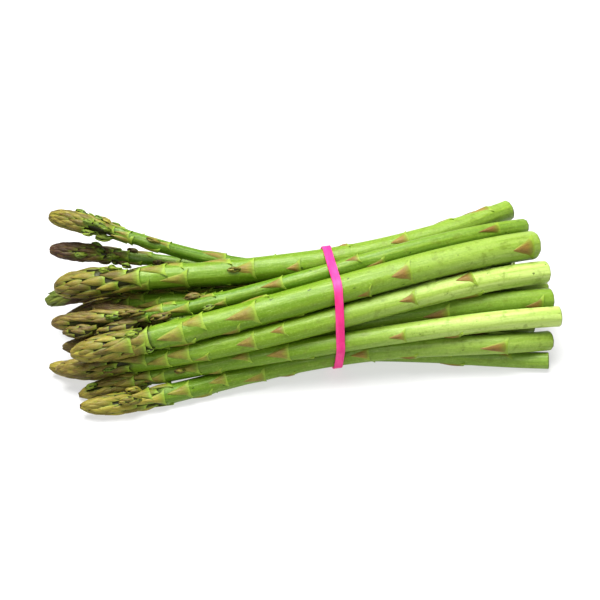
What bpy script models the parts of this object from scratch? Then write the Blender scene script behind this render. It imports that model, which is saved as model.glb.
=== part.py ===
"""A bundle of fresh green asparagus lying on its side, held by one flat rubber band.

X runs along the bundle, with the tips at -X and the cut butts at +X. Z is up.
The bundle rests on z = 0, with its origin under the middle of its box.
Each spear is one solid, a tapering stem with its pointed head. The band is a closed flat loop.
"""

import bmesh
import bpy
import numpy as np

MM = 0.001

# The band
BAND_X = 13.4  # where the band lies along the spears, before centring
BAND_MIDDLE = (-1.5, 24.5)  # and the middle of its loop, in Y and Z
BAND_WIDTH = 4.0
BAND_THICK = 1.1
BAND_LEAN_Y = -0.037  # how far the loop's plane leans along X for each mm of Y
BAND_LEAN_Z = 0.029  # and of Z
BAND_POINTS = 64

# How spears lie together
GAP = 0.42  # least space between neighbours, which also takes their scale leaves
SLICE = 4.0  # distance between the slices in which spears are kept apart
BEND = 4  # degree of the curve that a spear may follow
SETTLE_STEPS = 900
WAIST_X = -45.0  # part way from the tips to the band
SQUEEZE = 0.008  # how hard the band draws the spears together
SIDES = 10

# name: tip (x, y, z), part way to the band (y, z) where the spear doesn't simply bow,
#       at the band (y, z), butt (x, y, z), radius of head, neck, stem and butt and how pointed
#       the head is, length of head, how freely it gives way
SPEARS = {
    "spear_01": ((-113.5, 21, 30), (11, 39), (8, 44.8), (106, 31, 45), (7.2, 5.3, 5.8, 4.6, 0.72), 40, 0.25),
    "spear_02": ((-116.5, 6, 22.5), (-4.5, 34), (-4, 47.3), (111, 18, 43), (5.0, 3.4, 3.9, 3.7, 0.75), 44, 0.25),
    "spear_03": ((-109, -20, 20.5), (-20, 32.5), (-15.5, 43), (113, 8, 41.5), (6.5, 5.9, 6.5, 6.8, 0.95), 38, 0.25),
    "spear_04": ((-116.5, -16, 10.5), (-25, 23.5), (-21.5, 33), (117, -0.5, 32), (5.4, 4.6, 5.2, 5.6, 0.9), 36, 0.35),
    "spear_05": ((-107, -21.5, 8), (-26, 13), (-26.5, 21), (120, -24.5, 22), (4.4, 3.8, 4.6, 4.9, 0.95), 34, 0.25),
    "spear_06": ((-107, -38.5, 2), (-27.8, 6.5), (-24, 10.5), (115, -28.5, 12), (5.0, 4.5, 4.7, 4.6, 1.0), 38, 0.3),
    "spear_07": ((-119.5, -9, 4.5), None, (-16.5, 4.5), (114, -30.5, 4), (4.4, 3.8, 4.0, 3.9, 0.85), 34, 0.5),
    "spear_08": ((-112.5, -3.5, 14), None, (-16.5, 23.5), (118, -10, 23), (4.6, 4.4, 4.9, 5.3, 0.9), 34, 0.5),
    "spear_09": ((-113, 52, 51), (26.5, 38), (17.5, 27), (104, 4, 24), (4.8, 2.9, 3.4, 4.2, 0.62), 30, 0.4),
    "spear_10": ((-114.5, 46.5, 33), (31, 27), (21.5, 17.5), (106, 8, 10), (4.5, 2.9, 3.6, 4.4, 0.68), 32, 0.35),
    "spear_11": ((-118.5, 25, 21), None, (15.5, 34.5), (109, 39, 38.5), (5.0, 3.8, 4.5, 4.4, 0.9), 36, 0.45),
    "spear_12": ((-112.5, 26, 12), None, (-8.5, 29.5), (118, 0, 20.5), (4.6, 4.2, 4.8, 4.6, 0.85), 34, 0.55),
    "spear_13": ((-104, 5, 5), None, (-7, 5), (108, -9, 5), (5.0, 4.4, 4.9, 4.8, 0.85), 36, 1),
    "spear_14": ((-101, 15, 5.5), None, (3, 5.5), (111, 1.5, 5.5), (5.2, 4.6, 5.1, 5.0, 0.85), 36, 1),
    "spear_15": ((-102, 30, 4.5), None, (13, 5), (107, 13, 5), (4.8, 4.2, 4.7, 4.7, 0.85), 36, 0.9),
    "spear_16": ((-100, 9, 13), None, (-12.5, 13), (106, -19, 5), (4.6, 4.0, 4.4, 4.3, 0.85), 36, 1),
    "spear_17": ((-96, 16, 13), None, (-3, 14), (110, -18, 14), (5.2, 4.6, 5.1, 5.0, 0.85), 36, 1),
    "spear_18": ((-66, 24, 12), None, (8, 13), (108, 4, 13), (5.0, 4.4, 5.0, 4.9, 0.85), 36, 0.8),
    "spear_19": ((-88, 36, 5), None, (18.5, 10), (105, 24, 6), (5.0, 4.4, 4.9, 4.8, 0.85), 36, 0.8),
    "spear_20": ((-97, 8, 21), None, (-8.5, 23), (109, -8, 17), (4.4, 3.8, 4.3, 4.3, 0.85), 36, 1),
    "spear_21": ((-86, 24, 17), None, (1.5, 22.5), (106, 10, 21), (5.3, 4.7, 5.2, 5.1, 0.85), 36, 0.8),
    "spear_22": ((-58, 27, 19), None, (11.5, 22), (108, 20, 15), (4.8, 4.2, 4.8, 4.7, 0.85), 36, 0.8),
}

# The head's outline: share of its length, share of its widest radius
HEAD_OUTLINE = ((0, 0.12), (0.03, 0.34), (0.09, 0.58), (0.2, 0.81), (0.34, 0.95), (0.5, 1.0))


def radius(u, length, radii, head):
    """A spear's radius at distance u from its tip."""
    bulge, neck, stem, butt, blunt = radii
    t = np.clip(np.asarray(u, float) / head, 0, 1)
    t = np.where(t < 0.5, 0.5 * (2 * t) ** blunt, t)
    places = [p for p, _ in HEAD_OUTLINE] + [0.76, 1.0]
    shares = [bulge * s for _, s in HEAD_OUTLINE] + [0.4 * bulge + 0.6 * neck, neck]
    on_head = np.interp(t, places, shares)
    s = np.clip((u - head) / (length - head), 0, 1)
    swell = neck + (stem - neck) * (0.5 - 0.5 * np.cos(np.pi * np.minimum(s / 0.4, 1)))
    on_stem = np.where(s < 0.4, swell, stem + (butt - stem) * (s - 0.4) / 0.6)
    return np.where(u < head, on_head, on_stem)


def settle():
    """Lays the spears together: each follows its own smooth curve as near as it can to where it is
    wanted, none enters another and none sinks below the surface."""
    specs = list(SPEARS.values())
    n = len(specs)
    x = np.arange(-120.0, 124.1, SLICE)
    tip = np.array([s[0][0] for s in specs], float)
    butt = np.array([s[3][0] for s in specs], float)
    free = np.array([s[6] for s in specs], float)
    wanted = np.zeros((n, len(x), 2))
    size = np.zeros((n, len(x)))
    here, fits = [], []
    for i, (a, w, m, b, radii, head, _) in enumerate(specs):
        along = [a[0], BAND_X, b[0]] + ([WAIST_X] if w else [])
        for axis in (0, 1):
            places = [a[1 + axis], m[axis], b[1 + axis]] + ([w[axis]] if w else [])
            curve = np.polyfit(along, places, len(along) - 1)
            wanted[i, :, axis] = np.polyval(curve, x)
        size[i] = radius(x - a[0], b[0] - a[0], radii, head)
        on = (x >= a[0] - 2) & (x <= b[0] + 2)
        basis = np.polynomial.legendre.legvander(2 * (x - a[0]) / (b[0] - a[0]) - 1, BEND)
        here.append(on)
        fits.append(basis @ np.linalg.pinv(basis[on]))
    here = np.array(here)

    def smooth(paths):
        for i in range(n):
            paths[i] = fits[i] @ paths[i][here[i]]
        return paths

    first, second = np.triu_indices(n, 1)
    both = here[first] & here[second]
    share = free[first] / (free[first] + free[second])
    paths = smooth(wanted.copy())
    wanted = paths.copy()
    # The band passes under the spears, so they leave the surface a little there.
    under_band = (BAND_THICK + 0.4) * np.exp(-(((x - BAND_X) / 60) ** 2))
    near_band = SQUEEZE * np.exp(-(((x - BAND_X) / 25) ** 2))[None, :, None]
    for step in range(2 * SETTLE_STEPS):
        pull = max(0.0, 1 - step / SETTLE_STEPS)
        slope = np.gradient(paths, x, axis=1)
        wide = size * (1 + 0.5 * (slope**2).sum(-1))
        apart = paths[second] - paths[first]
        distance = np.sqrt((apart**2).sum(-1)) + 1e-9
        overlap = np.clip(wide[first] + wide[second] + GAP - distance, 0, None) * both
        if pull == 0 and overlap.max() < 0.03:
            break
        push = apart / distance[..., None] * overlap[..., None]
        move = np.zeros_like(paths)
        np.add.at(move, first, -push * share[:, None, None])
        np.add.at(move, second, push * (1 - share)[:, None, None])
        move += 0.06 * pull * (1.3 - free)[:, None, None] * (wanted - paths)
        move += pull * near_band * (np.array(BAND_MIDDLE) - paths)
        move[..., 1] -= 0.02 * pull * free[:, None]
        paths = smooth(paths + move)
        sunk = np.clip(wide + under_band - paths[..., 1], 0, None) * here
        paths[..., 1] += sunk
        paths = smooth(paths)
    return x, paths


def centre_line(x, path, at):
    """The point and the direction of a spear's curve at each of the given X."""
    y = np.interp(at, x, path[:, 0])
    z = np.interp(at, x, path[:, 1])
    dy = np.interp(at, x, np.gradient(path[:, 0], x))
    dz = np.interp(at, x, np.gradient(path[:, 1], x))
    along = np.stack([np.ones_like(dy), dy, dz], 1)
    return np.stack([at, y, z], 1), along / np.linalg.norm(along, axis=1)[:, None]


def dense(x, paths):
    """The same curves at every millimetre."""
    fine = np.arange(x[0], x[-1] + 0.1, 1.0)
    lines = []
    for path in paths:
        columns = []
        for axis in (0, 1):
            curve = np.polynomial.Polynomial.fit(x, path[:, axis], BEND)
            columns.append(curve(fine))
        lines.append(np.stack(columns, 1))
    return fine, np.array(lines)


def add_object(name, verts, faces, material):
    mesh = bpy.data.meshes.new(name)
    mesh.from_pydata([tuple(v * MM for v in p) for p in verts], [], faces)
    bm = bmesh.new()
    bm.from_mesh(mesh)
    bmesh.ops.recalc_face_normals(bm, faces=bm.faces)
    bm.to_mesh(mesh)
    bm.free()
    mesh.shade_smooth()
    mesh.set_sharp_from_angle(angle=0.7)
    mesh.materials.append(material)
    obj = bpy.data.objects.new(name, mesh)
    bpy.context.scene.collection.objects.link(obj)
    return obj


def spear(name, spec, x, path, material):
    """A swept round solid: rings across the centre line, a pointed tip and a square-cut butt."""
    (x0, _, _), _, _, (x1, _, _), radii, head, _ = spec
    length = x1 - x0
    along_head = head * np.array([0.025, 0.08, 0.18, 0.34, 0.56, 0.78, 1.0])
    along_stem = head + (length - head) * np.linspace(0, 1, 11)[1:]
    u = np.concatenate([along_head, along_stem])
    points, ways = centre_line(x, path, x0 + u)
    sizes = radius(u, length, radii, head)
    tip, _ = centre_line(x, path, np.array([float(x0)]))
    verts, faces = [tuple(tip[0])], []
    for p, t, r in zip(points, ways, sizes):
        side = np.cross(t, (0, 0, 1))
        side /= np.linalg.norm(side)
        above = np.cross(side, t)
        for k in range(SIDES):
            a = 2 * np.pi * k / SIDES
            verts.append(tuple(p + r * (np.cos(a) * side + np.sin(a) * above)))
    rings = len(u)
    for k in range(SIDES):
        after = (k + 1) % SIDES
        faces.append((0, 1 + after, 1 + k))
        for j in range(rings - 1):
            a, b = 1 + j * SIDES, 1 + (j + 1) * SIDES
            faces.append((a + k, a + after, b + after, b + k))
    faces.append([1 + (rings - 1) * SIDES + k for k in range(SIDES)])
    return add_object(name, verts, faces, material)


def hull(points):
    """The convex outline of flat points, counter-clockwise."""
    points = sorted(map(tuple, points))
    chains = []
    for run in (points, points[::-1]):
        chain = []
        for p in run:
            while len(chain) > 1:
                (ax, ay), (bx, by) = chain[-2], chain[-1]
                if (bx - ax) * (p[1] - ay) - (by - ay) * (p[0] - ax) > 0:
                    break
                chain.pop()
            chain.append(p)
        chains.append(chain[:-1])
    return np.array(chains[0] + chains[1])


def band_outline(x, paths):
    """The taut outline round all spears under the band, and its outward direction at each point."""
    found = []
    turn = np.linspace(0, 2 * np.pi, 48, endpoint=False)
    for shift in (-BAND_WIDTH / 2, 0, BAND_WIDTH / 2):
        for (a, _, _, b, radii, head, _), path in zip(SPEARS.values(), paths):
            y, z = (np.interp(BAND_X, x, path[:, c]) for c in (0, 1))
            at = BAND_X + shift + BAND_LEAN_Y * y + BAND_LEAN_Z * (z - 25)
            p, t = centre_line(x, path, np.array([at]))
            r = float(radius(at - a[0], b[0] - a[0], radii, head)) + 0.34
            found.append(np.stack([p[0, 1] + r * np.cos(turn), p[0, 2] + r * np.sin(turn)], 1))
    ring = hull(np.concatenate(found))
    closed = np.vstack([ring, ring[:1]])
    walked = np.concatenate([[0], np.cumsum(np.linalg.norm(np.diff(closed, axis=0), axis=1))])
    at = np.linspace(0, walked[-1], BAND_POINTS, endpoint=False)
    even = np.stack([np.interp(at, walked, closed[:, c]) for c in (0, 1)], 1)
    ahead = np.roll(even, -1, axis=0) - np.roll(even, 1, axis=0)
    ahead /= np.linalg.norm(ahead, axis=1)[:, None]
    return even, np.stack([ahead[:, 1], -ahead[:, 0]], 1)


def rubber_band(x, paths, material):
    inner, out = band_outline(x, paths)
    outer = inner + out * BAND_THICK
    half = BAND_WIDTH / 2
    verts, faces = [], []
    for line, shift in ((inner, -half), (outer, -half), (outer, half), (inner, half)):
        for y, z in line:
            verts.append((BAND_X + shift + BAND_LEAN_Y * y + BAND_LEAN_Z * (z - 25), y, z))
    n = len(inner)
    for side in range(4):
        a, b = side * n, (side + 1) % 4 * n
        for k in range(n):
            after = (k + 1) % n
            faces.append((a + k, a + after, b + after, b + k))
    return add_object("rubber_band", verts, faces, material)


def colour(name, rgb, roughness):
    material = bpy.data.materials.new(name)
    material.use_nodes = True
    shader = material.node_tree.nodes["Principled BSDF"]
    shader.inputs["Base Color"].default_value = (*rgb, 1)
    shader.inputs["Roughness"].default_value = roughness
    shader.inputs["Metallic"].default_value = 0.0
    return material


def centre(objects):
    """Moves everything so that the box stands on z = 0 with its middle over the origin."""
    points = np.array([v.co for o in objects for v in o.data.vertices])
    low, high = points.min(axis=0), points.max(axis=0)
    for o in objects:
        for v in o.data.vertices:
            v.co.x -= (low[0] + high[0]) / 2
            v.co.y -= (low[1] + high[1]) / 2
            v.co.z -= low[2]


def main():
    for obj in list(bpy.data.objects):
        bpy.data.objects.remove(obj, do_unlink=True)
    green = colour("asparagus_green", (0.26, 0.42, 0.05), 0.42)
    pink = colour("pink_rubber", (0.86, 0.09, 0.40), 0.55)
    x, paths = dense(*settle())
    objects = [
        spear(name, spec, x, path, green)
        for (name, spec), path in zip(SPEARS.items(), paths)
    ]
    objects.append(rubber_band(x, paths, pink))
    centre(objects)


main()
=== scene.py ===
"""The looks of the bundle of asparagus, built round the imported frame."""

import bpy
import numpy as np
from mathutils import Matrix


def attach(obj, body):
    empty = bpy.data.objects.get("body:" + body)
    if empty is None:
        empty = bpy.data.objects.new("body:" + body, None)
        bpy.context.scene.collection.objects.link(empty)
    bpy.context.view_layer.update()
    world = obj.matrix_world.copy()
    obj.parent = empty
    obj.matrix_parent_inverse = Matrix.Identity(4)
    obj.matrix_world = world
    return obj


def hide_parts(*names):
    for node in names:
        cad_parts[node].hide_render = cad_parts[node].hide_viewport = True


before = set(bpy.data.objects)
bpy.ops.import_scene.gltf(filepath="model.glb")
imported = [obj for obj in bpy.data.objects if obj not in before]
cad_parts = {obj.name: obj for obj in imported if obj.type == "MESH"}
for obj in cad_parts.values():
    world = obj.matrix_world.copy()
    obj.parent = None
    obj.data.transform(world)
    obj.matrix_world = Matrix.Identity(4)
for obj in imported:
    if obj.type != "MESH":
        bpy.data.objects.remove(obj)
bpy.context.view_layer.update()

MM = 0.001

# ---------------------------------------------------------------- the spears' layout, as in the CAD

BAND_X = 13.4
BAND_MIDDLE = (-1.5, 24.5)
BAND_WIDTH = 4.0
BAND_THICK = 1.1
BAND_LEAN_Y = -0.037
BAND_LEAN_Z = 0.029
GAP = 0.42
SLICE = 4.0
BEND = 4
SETTLE_STEPS = 900
WAIST_X = -45.0
SQUEEZE = 0.008

SPEARS = {
    "spear_01": ((-113.5, 21, 30), (11, 39), (8, 44.8), (106, 31, 45), (7.2, 5.3, 5.8, 4.6, 0.72), 40, 0.25),
    "spear_02": ((-116.5, 6, 22.5), (-4.5, 34), (-4, 47.3), (111, 18, 43), (5.0, 3.4, 3.9, 3.7, 0.75), 44, 0.25),
    "spear_03": ((-109, -20, 20.5), (-20, 32.5), (-15.5, 43), (113, 8, 41.5), (6.5, 5.9, 6.5, 6.8, 0.95), 38, 0.25),
    "spear_04": ((-116.5, -16, 10.5), (-25, 23.5), (-21.5, 33), (117, -0.5, 32), (5.4, 4.6, 5.2, 5.6, 0.9), 36, 0.35),
    "spear_05": ((-107, -21.5, 8), (-26, 13), (-26.5, 21), (120, -24.5, 22), (4.4, 3.8, 4.6, 4.9, 0.95), 34, 0.25),
    "spear_06": ((-107, -38.5, 2), (-27.8, 6.5), (-24, 10.5), (115, -28.5, 12), (5.0, 4.5, 4.7, 4.6, 1.0), 38, 0.3),
    "spear_07": ((-119.5, -9, 4.5), None, (-16.5, 4.5), (114, -30.5, 4), (4.4, 3.8, 4.0, 3.9, 0.85), 34, 0.5),
    "spear_08": ((-112.5, -3.5, 14), None, (-16.5, 23.5), (118, -10, 23), (4.6, 4.4, 4.9, 5.3, 0.9), 34, 0.5),
    "spear_09": ((-113, 52, 51), (26.5, 38), (17.5, 27), (104, 4, 24), (4.8, 2.9, 3.4, 4.2, 0.62), 30, 0.4),
    "spear_10": ((-114.5, 46.5, 33), (31, 27), (21.5, 17.5), (106, 8, 10), (4.5, 2.9, 3.6, 4.4, 0.68), 32, 0.35),
    "spear_11": ((-118.5, 25, 21), None, (15.5, 34.5), (109, 39, 38.5), (5.0, 3.8, 4.5, 4.4, 0.9), 36, 0.45),
    "spear_12": ((-112.5, 26, 12), None, (-8.5, 29.5), (118, 0, 20.5), (4.6, 4.2, 4.8, 4.6, 0.85), 34, 0.55),
    "spear_13": ((-104, 5, 5), None, (-7, 5), (108, -9, 5), (5.0, 4.4, 4.9, 4.8, 0.85), 36, 1),
    "spear_14": ((-101, 15, 5.5), None, (3, 5.5), (111, 1.5, 5.5), (5.2, 4.6, 5.1, 5.0, 0.85), 36, 1),
    "spear_15": ((-102, 30, 4.5), None, (13, 5), (107, 13, 5), (4.8, 4.2, 4.7, 4.7, 0.85), 36, 0.9),
    "spear_16": ((-100, 9, 13), None, (-12.5, 13), (106, -19, 5), (4.6, 4.0, 4.4, 4.3, 0.85), 36, 1),
    "spear_17": ((-96, 16, 13), None, (-3, 14), (110, -18, 14), (5.2, 4.6, 5.1, 5.0, 0.85), 36, 1),
    "spear_18": ((-66, 24, 12), None, (8, 13), (108, 4, 13), (5.0, 4.4, 5.0, 4.9, 0.85), 36, 0.8),
    "spear_19": ((-88, 36, 5), None, (18.5, 10), (105, 24, 6), (5.0, 4.4, 4.9, 4.8, 0.85), 36, 0.8),
    "spear_20": ((-97, 8, 21), None, (-8.5, 23), (109, -8, 17), (4.4, 3.8, 4.3, 4.3, 0.85), 36, 1),
    "spear_21": ((-86, 24, 17), None, (1.5, 22.5), (106, 10, 21), (5.3, 4.7, 5.2, 5.1, 0.85), 36, 0.8),
    "spear_22": ((-58, 27, 19), None, (11.5, 22), (108, 20, 15), (4.8, 4.2, 4.8, 4.7, 0.85), 36, 0.8),
}

HEAD_OUTLINE = ((0, 0.12), (0.03, 0.34), (0.09, 0.58), (0.2, 0.81), (0.34, 0.95), (0.5, 1.0))


def radius(u, length, radii, head):
    bulge, neck, stem, butt, blunt = radii
    t = np.clip(np.asarray(u, float) / head, 0, 1)
    t = np.where(t < 0.5, 0.5 * (2 * t) ** blunt, t)
    places = [p for p, _ in HEAD_OUTLINE] + [0.76, 1.0]
    shares = [bulge * s for _, s in HEAD_OUTLINE] + [0.4 * bulge + 0.6 * neck, neck]
    on_head = np.interp(t, places, shares)
    s = np.clip((u - head) / (length - head), 0, 1)
    swell = neck + (stem - neck) * (0.5 - 0.5 * np.cos(np.pi * np.minimum(s / 0.4, 1)))
    on_stem = np.where(s < 0.4, swell, stem + (butt - stem) * (s - 0.4) / 0.6)
    return np.where(u < head, on_head, on_stem)


def settle():
    specs = list(SPEARS.values())
    n = len(specs)
    x = np.arange(-120.0, 124.1, SLICE)
    tip = np.array([s[0][0] for s in specs], float)
    butt = np.array([s[3][0] for s in specs], float)
    free = np.array([s[6] for s in specs], float)
    wanted = np.zeros((n, len(x), 2))
    size = np.zeros((n, len(x)))
    here, fits = [], []
    for i, (a, w, m, b, radii, head, _) in enumerate(specs):
        along = [a[0], BAND_X, b[0]] + ([WAIST_X] if w else [])
        for axis in (0, 1):
            places = [a[1 + axis], m[axis], b[1 + axis]] + ([w[axis]] if w else [])
            curve = np.polyfit(along, places, len(along) - 1)
            wanted[i, :, axis] = np.polyval(curve, x)
        size[i] = radius(x - a[0], b[0] - a[0], radii, head)
        on = (x >= a[0] - 2) & (x <= b[0] + 2)
        basis = np.polynomial.legendre.legvander(2 * (x - a[0]) / (b[0] - a[0]) - 1, BEND)
        here.append(on)
        fits.append(basis @ np.linalg.pinv(basis[on]))
    here = np.array(here)

    def smooth(paths):
        for i in range(n):
            paths[i] = fits[i] @ paths[i][here[i]]
        return paths

    first, second = np.triu_indices(n, 1)
    both = here[first] & here[second]
    share = free[first] / (free[first] + free[second])
    paths = smooth(wanted.copy())
    wanted = paths.copy()
    under_band = (BAND_THICK + 0.4) * np.exp(-(((x - BAND_X) / 60) ** 2))
    near_band = SQUEEZE * np.exp(-(((x - BAND_X) / 25) ** 2))[None, :, None]
    for step in range(2 * SETTLE_STEPS):
        pull = max(0.0, 1 - step / SETTLE_STEPS)
        slope = np.gradient(paths, x, axis=1)
        wide = size * (1 + 0.5 * (slope**2).sum(-1))
        apart = paths[second] - paths[first]
        distance = np.sqrt((apart**2).sum(-1)) + 1e-9
        overlap = np.clip(wide[first] + wide[second] + GAP - distance, 0, None) * both
        if pull == 0 and overlap.max() < 0.03:
            break
        push = apart / distance[..., None] * overlap[..., None]
        move = np.zeros_like(paths)
        np.add.at(move, first, -push * share[:, None, None])
        np.add.at(move, second, push * (1 - share)[:, None, None])
        move += 0.06 * pull * (1.3 - free)[:, None, None] * (wanted - paths)
        move += pull * near_band * (np.array(BAND_MIDDLE) - paths)
        move[..., 1] -= 0.02 * pull * free[:, None]
        paths = smooth(paths + move)
        sunk = np.clip(wide + under_band - paths[..., 1], 0, None) * here
        paths[..., 1] += sunk
        paths = smooth(paths)
    return x, paths


def dense(x, paths):
    fine = np.arange(x[0], x[-1] + 0.1, 1.0)
    lines = []
    for path in paths:
        columns = []
        for axis in (0, 1):
            curve = np.polynomial.Polynomial.fit(x, path[:, axis], BEND)
            columns.append(curve(fine))
        lines.append(np.stack(columns, 1))
    return fine, np.array(lines)


X, PATHS = dense(*settle())


def cad_points(node):
    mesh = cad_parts[node].data
    points = np.empty(len(mesh.vertices) * 3)
    mesh.vertices.foreach_get("co", points)
    return points.reshape(-1, 3) / MM


# The CAD is centred after its spears are laid together; the tip of the first spear says by how much.
_tips = cad_points("spear_01")
_tip = _tips[_tips[:, 0].argmin()]
_first = float(SPEARS["spear_01"][0][0])
_own = [np.interp(_first, X, PATHS[0][:, c]) for c in (0, 1)]
SHIFT = _tip - np.array([_first, *_own])
print("shift", SHIFT)

# ---------------------------------------------------------------- closed shells in a spear's own space


class Line:
    """A spear's centre line. Points are given by distance from the tip along X, angle and radius."""

    def __init__(self, spec, path):
        self.x0, self.length = float(spec[0][0]), float(spec[3][0] - spec[0][0])
        self.radii, self.head = spec[4], float(spec[5])
        self.path = path
        self.slope = np.gradient(path, X, axis=0)
        u = np.arange(-6, self.length + 6.01, 0.25)
        r = radius(np.clip(u, 0, self.length), self.length, self.radii, self.head)
        k = np.exp(-0.5 * (np.arange(-16, 17) * 0.25 / 1.4) ** 2)
        soft = np.convolve(np.pad(r, 16, mode="edge"), k / k.sum(), "valid")
        near = np.clip((u - 1.0) / 5.0, 0, 1)
        self.u, self.r = u, r * (1 - near) + soft * near

    def size(self, u):
        return np.interp(u, self.u, self.r)

    def place(self, u, a, rho):
        u, a, rho = np.broadcast_arrays(u, a, rho)
        at = self.x0 + u
        inside = np.clip(at, X[0], X[-1])
        y = np.interp(inside, X, self.path[:, 0])
        z = np.interp(inside, X, self.path[:, 1])
        dy = np.interp(inside, X, self.slope[:, 0])
        dz = np.interp(inside, X, self.slope[:, 1])
        past = at - inside
        size = np.sqrt(1 + dy * dy + dz * dz)
        tx, ty, tz = 1 / size, dy / size, dz / size
        # side is the way of T x Z, level; above is side x T
        flat = np.sqrt(tx * tx + ty * ty)
        sx, sy = ty / flat, -tx / flat
        ax, ay, az = sy * tz, -sx * tz, sx * ty - sy * tx
        c, s = rho * np.cos(a), rho * np.sin(a)
        out = np.stack(
            [at + c * sx + s * ax, y + past * dy + c * sy + s * ay, z + past * dz + s * az], -1
        )
        return out + SHIFT


class Shells:
    """Collects closed shells: vertices in mm, faces, and what the materials read."""

    def __init__(self):
        self.points, self.flat, self.leaf, self.count = [], [], [], 0
        self.loops, self.sizes, self.slots = [], [], []

    def add(self, points, flat, leaf, quads=None, tris=None, slot=0):
        base = self.count
        self.points.append(points.reshape(-1, 3))
        self.flat.append(flat.reshape(-1, 3))
        self.leaf.append(leaf.reshape(-1, 3))
        self.count += len(self.points[-1])
        for faces, k in ((quads, 4), (tris, 3)):
            if faces is None or not len(faces):
                continue
            faces = np.asarray(faces) + base
            self.loops.append(faces.reshape(-1))
            self.sizes.append(np.full(len(faces), k))
            slots = np.full(len(faces), slot) if np.isscalar(slot) else slot[k]
            self.slots.append(slots)

    def build(self, name, materials, look):
        mesh = bpy.data.meshes.new(name)
        points = np.concatenate(self.points)
        # what lies on the floor is pressed flat against it, not through it
        low = points[:, 2] < 1.0
        points[low, 2] = np.exp(points[low, 2] - 1.0)
        points = points.astype(np.float32) * MM
        loops = np.concatenate(self.loops).astype(np.int32)
        sizes = np.concatenate(self.sizes).astype(np.int32)
        slots = np.concatenate(self.slots).astype(np.int32)
        starts = np.concatenate([[0], np.cumsum(sizes)[:-1]]).astype(np.int32)
        mesh.vertices.add(len(points))
        mesh.vertices.foreach_set("co", points.reshape(-1))
        mesh.loops.add(len(loops))
        mesh.loops.foreach_set("vertex_index", loops)
        mesh.polygons.add(len(sizes))
        mesh.polygons.foreach_set("loop_start", starts)
        mesh.polygons.foreach_set("loop_total", sizes)
        mesh.polygons.foreach_set("material_index", slots)
        mesh.polygons.foreach_set("use_smooth", np.ones(len(sizes), bool))
        mesh.update(calc_edges=True)
        for key, values in (("flat", self.flat), ("leaf", self.leaf)):
            layer = mesh.attributes.new(key, "FLOAT_VECTOR", "POINT")
            layer.data.foreach_set("vector", np.concatenate(values).astype(np.float32).reshape(-1))
        layer = mesh.attributes.new("look", "FLOAT_VECTOR", "POINT")
        layer.data.foreach_set(
            "vector", np.tile(np.array(look, np.float32), len(points))
        )
        for m in materials:
            mesh.materials.append(m)
        mesh.set_sharp_from_angle(angle=1.05)
        obj = bpy.data.objects.new(name, mesh)
        bpy.context.scene.collection.objects.link(obj)
        return obj


_patches = {}


def patch_faces(ns, nw):
    """Quads of a closed shell whose top is ns by nw points and whose underside is the same after it."""
    if (ns, nw) not in _patches:
        index = np.arange(ns * nw).reshape(ns, nw)
        a, b = index[:-1, :-1], index[:-1, 1:]
        c, d = index[1:, 1:], index[1:, :-1]
        top = np.stack([a, b, c, d], -1).reshape(-1, 4)
        under = top[:, ::-1] + ns * nw
        ring = np.concatenate(
            [index[0, :-1], index[:-1, -1], index[-1, :0:-1], index[:0:-1, 0]]
        )
        after = np.roll(ring, -1)
        wall = np.stack([after, ring, ring + ns * nw, after + ns * nw], -1)
        _patches[ns, nw] = np.concatenate([top, under, wall])
    return _patches[ns, nw]


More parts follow.
